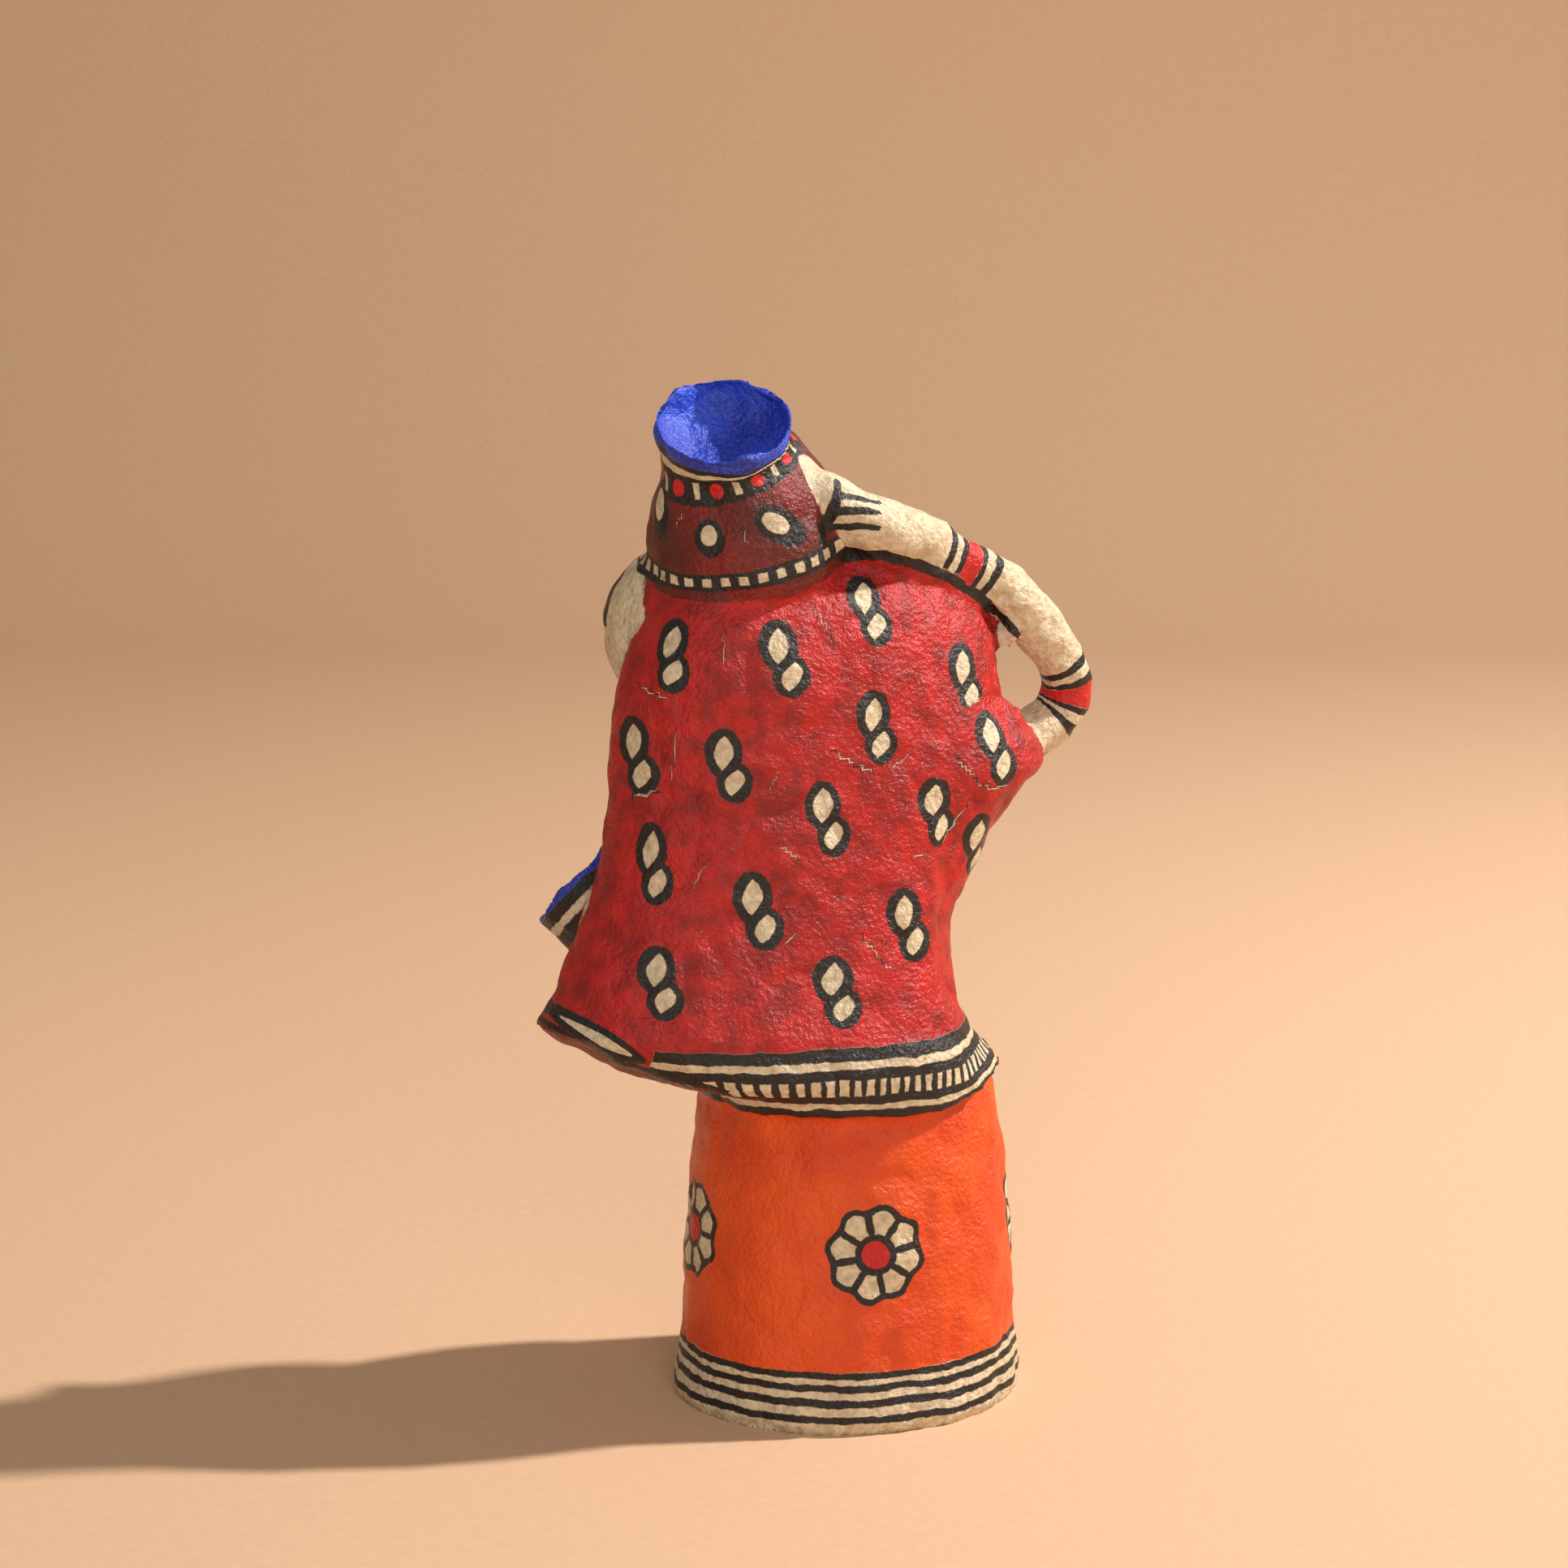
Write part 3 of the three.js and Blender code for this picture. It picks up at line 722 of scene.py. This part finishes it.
    def front(self):
        """Blouse, bare waist and the top of the skirt, under the open veil."""
        body = (BODY_COAT - self.stored("torso")) & (FRONT_FROM - self.y) & self.clear_of_left()
        body = body & (self.stored("right_arm") - CLEAR)
        self.lay(self.skin, self.band(self.z, *SKIN_SPAN) & body)
        self.lay(self.blue, self.band(self.z, *BLOUSE) & body)
        self.lay(ORANGE, self.band(self.z, *SKIRT_TOP) & body)
        for low, high in [*BLOUSE_EDGES, WAISTBAND]:
            self.ink = self.ink | (self.band(self.z, low, high) & body)
        self.cream = self.cream | (self.band(self.z, *BLOUSE_LINE) & body)
        neck = (BODY_COAT - self.stored("neck")) & (NECK_FROM - self.y) & (self.stored("head") - COAT)
        self.lay(self.skin, neck & self.band(self.z, *NECK_SPAN))
        self.ink = self.ink | (neck & self.band(self.z, *NECKLACE))
        self.cream = self.cream | (neck & self.band(self.z, *NECKLACE_LINE))

    def turned(self, pot, count):
        """Which way round a pot a place is, in so many equal parts."""
        turn = self.sum("ARCTAN2", self.stored(pot + "_north"), self.stored(pot + "_east"))
        return turn * (count / math.tau)

    def clay(self, pot, arm):
        """A pot's brown-red ground. Gives back where the pot, its bowl and its outer wall are."""
        wall, down = self.stored(pot + "_wall"), self.stored(pot + "_down")
        on_pot = (CLEAR - wall) & (self.stored(arm) - COAT)
        self.lay(self.blend(POT_RED, POT_BROWN, self.mask(self.patches + 0.1, 0.9)), on_pot)
        in_bowl = (-BOWL_WALL - wall) & (BOWL_DEPTH - down)
        outside = (wall + BOWL_WALL) & on_pot
        return on_pot, in_bowl, outside

    def head_pot(self):
        wall, down = self.stored("pot_wall"), self.stored("pot_down")
        on_pot, in_bowl, outside = self.clay("pot", "right_arm")
        level = down + self.noise(self.place, 15, 1) * COLLAR_SWAY
        self.lay(self.blue, ((RIM_BLUE - level) & on_pot) | in_bowl)
        self.ink = self.ink | (self.band(level, *COLLAR) & outside)
        self.cream = self.cream | (self.band(level, *COLLAR_LINE) & outside)
        share = self.turned("pot", COLLAR_COUNT) % 1
        arc = math.tau * COLLAR_RADIUS / COLLAR_COUNT
        bar = (COLLAR_BAR_HALF - abs(share - 0.25) * arc) & self.band(level, *COLLAR_BAR)
        dot = self.oval(abs(share - 0.75) * arc, level - COLLAR_DOT_DOWN, COLLAR_DOT, COLLAR_DOT)
        self.cream = self.cream | (bar & outside)
        self.red = self.red | (dot & outside)
        ring = self.band(down, *RING) & (RING_WALL - wall) & (wall + RING_INSIDE)
        ring = ring & (self.stored("right_arm") - COAT)
        self.ink = self.ink | ring
        from_tick = abs(self.turned("pot", TICK_COUNT) % 1 - 0.5) * (math.tau * TICK_RADIUS / TICK_COUNT)
        self.cream = self.cream | ((TICK_HALF - from_tick) & self.band(down, *TICKS) & ring)

    def hip_pot(self):
        down = self.stored("hip_down")
        on_pot, in_bowl, outside = self.clay("hip", "left_arm")
        self.lay(self.blue, ((HIP_RIM_BLUE - down) & on_pot) | in_bowl)
        self.ink = self.ink | (self.band(down, *HIP_COLLAR) & outside)
        self.cream = self.cream | (self.band(down, *HIP_LINE) & outside)

    def pairs(self):
        across, up, here = self.motif("pair")
        lower_across, lower_up = across - PAIR_LOWER[0], up - PAIR_LOWER[1]
        outline = self.oval(across, up, *UPPER_OUTLINE) | self.oval(lower_across, lower_up, *LOWER_OUTLINE)
        upper = self.leaf(across - up * UPPER_LEAN, up, *UPPER_DOT)
        lower = self.leaf(lower_across - lower_up * LOWER_LEAN, lower_up, *LOWER_DOT)
        self.ink = self.ink | (outline & here)
        self.cream = self.cream | ((upper | lower) & here)

    def flowers(self):
        across, up, here = self.motif("flower")
        radius = (across * across + up * up)**0.5
        turn = self.sum("ARCTAN2", up, across)
        wave = self.sum("COSINE", turn * PETAL_COUNT)
        half_count = PETAL_COUNT // 2
        from_spoke = abs(self.sum("SINE", turn * half_count)) * radius / half_count
        self.ink = self.ink | ((FLOWER_OUTLINE - wave * FLOWER_OUTLINE_WAVE - radius) & here)
        petals = (PETAL_OUTER - wave * PETAL_WAVE - radius) & (radius - PETAL_INNER)
        petals = petals & (from_spoke - PETAL_GAP)
        self.cream = self.cream | (petals & here)
        self.red = self.red | ((FLOWER_MIDDLE - radius) & here)

    def spots(self):
        across, up, here = self.motif("spot")
        radius = (across * across + up * up)**0.5
        self.ink = self.ink | ((SPOT_OUTLINE - radius - up * SPOT_LEAN) * SPOT_SIZE & here)
        self.cream = self.cream | ((1 - radius) * SPOT_SIZE & here)

    def finish(self):
        self.lay(DOT_RED, self.red)
        self.feed(self.shader.inputs["Base Color"], self.colour)
        gloss = 0.4 + self.patches * 0.12 + self.grain * 0.08
        self.feed(self.shader.inputs["Roughness"], gloss)
        height = self.noise(self.place, 1.5, 4) * 0.6 + self.noise(self.place, 0.45, 2) * 0.15
        bump = self.node("Bump", {}, {"Strength": 1.0, "Distance": 0.0008, "Height": height}, "Normal")
        self.feed(self.shader.inputs["Normal"], bump)


def store(mesh, name, values):
    mesh.attributes.new(name, "FLOAT", "POINT").data.foreach_set("value", values.astype(np.float32))


def prepare_paint(piece):
    """What the paint needs to know at each point of the mesh, measured before the pulp is pressed."""
    mesh = piece.data
    places, normals = corners_of(mesh)
    tree = BVHTree.FromPolygons([v.co for v in mesh.vertices], [p.vertices for p in mesh.polygons])
    right_arm, right_along = from_limb(places, RIGHT_ARM)
    left_arm, left_along = from_limb(places, LEFT_ARM)
    left_hand = from_lump(places, LEFT_HAND_MIDDLE, LEFT_HAND_HALVES, LEFT_HAND_TURN)
    store(mesh, "right_arm", right_arm)
    store(mesh, "right_along", right_along)
    store(mesh, "left_arm", np.minimum(left_arm, left_hand))
    store(mesh, "left_along", left_along)
    store(mesh, "scrap", from_lump(places, TORN_SCRAP_MIDDLE, TORN_SCRAP_HALVES, TORN_SCRAP_TURN))
    store(mesh, "head", from_lump(places, HEAD_MIDDLE, HEAD_HALVES, HEAD_TURN))
    store(mesh, "hood", from_lump(places, HOOD_MIDDLE, HOOD_HALVES, HEAD_TURN))
    store(mesh, "torso", from_torso(places))
    store(mesh, "lobe", places[:, 2] - at_height(LOBE_EDGE, places[:, 0]))
    store(mesh, "hem", hem_height(places))
    store(mesh, "strokes", ink_of(places, tree))
    store(mesh, "neck", from_limb(places, NECK)[0])
    turn = math.radians(HEAD_TURN)
    offset = places - np.array(HEAD_MIDDLE)
    store(mesh, "face_aside", offset[:, 0] * math.cos(turn) + offset[:, 1] * math.sin(turn))
    store(mesh, "face_ahead", offset[:, 0] * math.sin(turn) - offset[:, 1] * math.cos(turn))
    store(mesh, "face_up", offset[:, 2])
    pots = [from_pot(places, HEAD_POT_LINE, HEAD_POT_RADIUS), from_pot(places, HIP_POT_LINE, HIP_POT_RADIUS)]
    for pot, found in zip(("pot", "hip"), pots):
        for name, values in zip(("wall", "down", "east", "north"), found):
            store(mesh, f"{pot}_{name}", values)
    for motif, marks, reach in (
        ("pair", veil_pairs(tree), PAIR_REACH),
        ("flower", skirt_flowers(tree), FLOWER_REACH),
        ("spot", pot_spots(tree), SPOT_REACH),
    ):
        for name, values in zip(("across", "up", "near"), stamp(places, normals, marks, reach)):
            store(mesh, f"{motif}_{name}", values)
    return places, normals, pots


figure = fine_copy(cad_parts["figure"], "papier_mache_figure")
figure.data.vertices.foreach_set("co", (press_pulp(*prepare_paint(figure)) * MM).ravel())
figure.data.polygons.foreach_set("use_smooth", [True] * len(figure.data.polygons))
figure.data.update()
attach(figure, "root")
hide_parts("figure")

painting = Figure()
painting.draw()
figure.data.materials.append(painting.material)

# ---- Floor, light and camera ------------------------------------------------------------------

CAMERA_TARGET = (17.8, -6.5, 183)
CAMERA_AZIMUTH = 160
CAMERA_ELEVATION = 10.5
CAMERA_DISTANCE = 1085
LENS = 85


def away(azimuth, elevation, distance):
    """A place at a distance: azimuth 0 is towards -Y, and 90 towards +X."""
    a, e = math.radians(azimuth), math.radians(elevation)
    return Vector((math.sin(a) * math.cos(e), -math.cos(a) * math.cos(e), math.sin(e))) * distance


def stand_camera():
    target = Vector(CAMERA_TARGET) * MM
    place = target + away(CAMERA_AZIMUTH, CAMERA_ELEVATION, CAMERA_DISTANCE * MM)
    lens = bpy.data.cameras.new("camera")
    lens.lens = LENS
    lens.sensor_width = 36
    lens.clip_start, lens.clip_end = 0.01, 20
    camera = bpy.data.objects.new("camera", lens)
    camera.location = place
    camera.rotation_euler = (target - place).to_track_quat("-Z", "Y").to_euler()
    bpy.context.scene.collection.objects.link(camera)
    bpy.context.scene.camera = camera


def lay_floor():
    """A pale floor that sweeps up behind the figure."""
    half_width, back, radius, wall = 3.2, 1.5, 0.7, 1.6
    profile = [(-2.4, 0), (back, 0)]
    for step in range(1, 17):
        angle = step / 16 * math.pi / 2
        profile.append((back + radius * math.sin(angle), radius * (1 - math.cos(angle))))
    profile.append((back + radius, radius + wall))
    a = math.radians(CAMERA_AZIMUTH)
    right, behind = Vector((math.cos(a), math.sin(a), 0)), Vector((-math.sin(a), math.cos(a), 0))
    corners = []
    for depth, height in profile:
        for side in (-half_width, half_width):
            corners.append(right * side + behind * depth + Vector((0, 0, height)))
    faces = [(i, i + 1, i + 3, i + 2) for i in range(0, len(corners) - 2, 2)]
    mesh = bpy.data.meshes.new("floor")
    mesh.from_pydata(corners, [], faces)
    mesh.polygons.foreach_set("use_smooth", [True] * len(faces))
    floor = bpy.data.objects.new("floor", mesh)
    bpy.context.scene.collection.objects.link(floor)
    bench = Bench("floor_paper")
    place = bench.node("TexCoord", {}, {}, "Object")
    mottle = bench.node("TexNoise", {}, {"Vector": place, "Scale": 260.0, "Detail": 4.0})
    bench.feed(bench.shader.inputs["Base Color"],
               bench.blend(paint(218, 180, 146), paint(206, 168, 134), mottle))
    bench.feed(bench.shader.inputs["Roughness"], 0.9)
    mesh.materials.append(bench.material)


def hang_light(name, azimuth, elevation, distance, size, power, colour):
    lamp = bpy.data.lights.new(name, "AREA")
    lamp.shape = "DISK"
    lamp.size = size
    lamp.energy = power
    lamp.color = colour
    light = bpy.data.objects.new(name, lamp)
    light.location = away(azimuth, elevation, distance)
    light.rotation_euler = (-light.location).to_track_quat("-Z", "Y").to_euler()
    bpy.context.scene.collection.objects.link(light)


stand_camera()
lay_floor()
hang_light("key", 258, 48, 2.0, 0.09, 52, (1, 0.96, 0.92))
hang_light("fill", 165, 28, 1.9, 1.2, 12, (1, 0.97, 0.94))
world = bpy.data.worlds.new("studio")
world.use_nodes = True
world.node_tree.nodes["Background"].inputs["Color"].default_value = (1, 0.93, 0.85, 1)
world.node_tree.nodes["Background"].inputs["Strength"].default_value = 0.3
bpy.context.scene.world = world
bpy.context.scene.view_settings.view_transform = "Standard"
